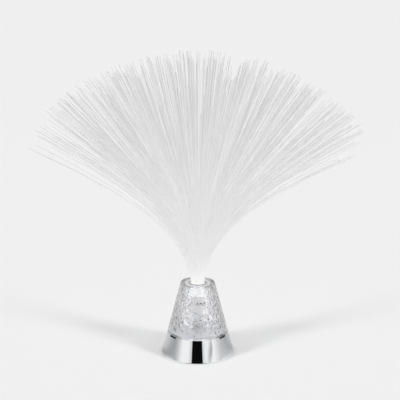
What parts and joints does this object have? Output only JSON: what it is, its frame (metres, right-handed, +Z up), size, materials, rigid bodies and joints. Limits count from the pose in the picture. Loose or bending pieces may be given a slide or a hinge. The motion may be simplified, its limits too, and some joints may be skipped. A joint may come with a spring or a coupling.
{
  "type": "fiber optic lamp",
  "caption": "Battery fiber optic table lamp: a fan of fine light fibers above a clear cracked-ice cone on a chrome-plated skirt, with a battery door and a slide switch underneath.",
  "frame": {"origin": "on the lamp's upright axis, in the plane of the table that the skirt's rim stands on", "axes": "+Z up along the axis; -Y towards the viewer of the picture, on whose side the underside's switch lies; +X to the viewer's right, where the battery door's screw is"},
  "size_m": [0.3362, 0.3402, 0.3168],
  "materials": {
    "chrome_plate": "mirror-bright chrome on moulded ABS",
    "clear_styrene": "clear, polished outside, cracked-ice facets inside",
    "light_fibre": "clear drawn acrylic fibre, cut ends",
    "black_plastic": "fine moulded texture",
    "knob_plastic": "moulded, grooved",
    "white_plastic": "moulded white",
    "clear_resin": "cast clear resin",
    "zinc_steel": "bright zinc plate",
    "cell_wrap": "plain shrink sleeve",
    "board_laminate": "solder-masked laminate",
    "board_parts": "moulded",
    "wire_cover": "soft PVC"
  },
  "bodies": {
    "lamp": {"base_skirt": "chrome_plate", "clear_cone": "clear_styrene", "bay_plate": "black_plastic", "plate_screws": "zinc_steel", "battery_1": "cell_wrap", "battery_2": "cell_wrap", "battery_3": "cell_wrap", "contact_springs": "zinc_steel", "terminal_plates": "zinc_steel", "circuit_board": "board_laminate", "board_screws": "zinc_steel", "resistor": "board_parts", "control_chip": "board_parts", "wires": "wire_cover", "switch_body": "zinc_steel", "reflector": "white_plastic", "light_source": "clear_resin", "light_tube": "clear_styrene", "bundle_sleeve": "white_plastic", "fibre_ring_1": "light_fibre", "fibre_ring_2": "light_fibre", "fibre_ring_3": "light_fibre", "fibre_ring_4": "light_fibre", "fibre_ring_5": "light_fibre", "fibre_ring_6": "light_fibre", "fibre_ring_7": "light_fibre"},
    "door": {"battery_door": "black_plastic", "door_screw": "zinc_steel"},
    "knob": {"switch_knob": "knob_plastic"}
  },
  "joints": [
    {"name": "door_hinge", "type": "hinge", "parent": "lamp", "child": "door", "pos_m": [-0.0249, 0, 0.0012], "axis": [0, 1, 0], "range_deg": [0, 80]},
    {"name": "switch_slide", "type": "slide", "parent": "lamp", "child": "knob", "axis": [1, 0, 0], "range_m": [0, 0.002]}
  ]
}
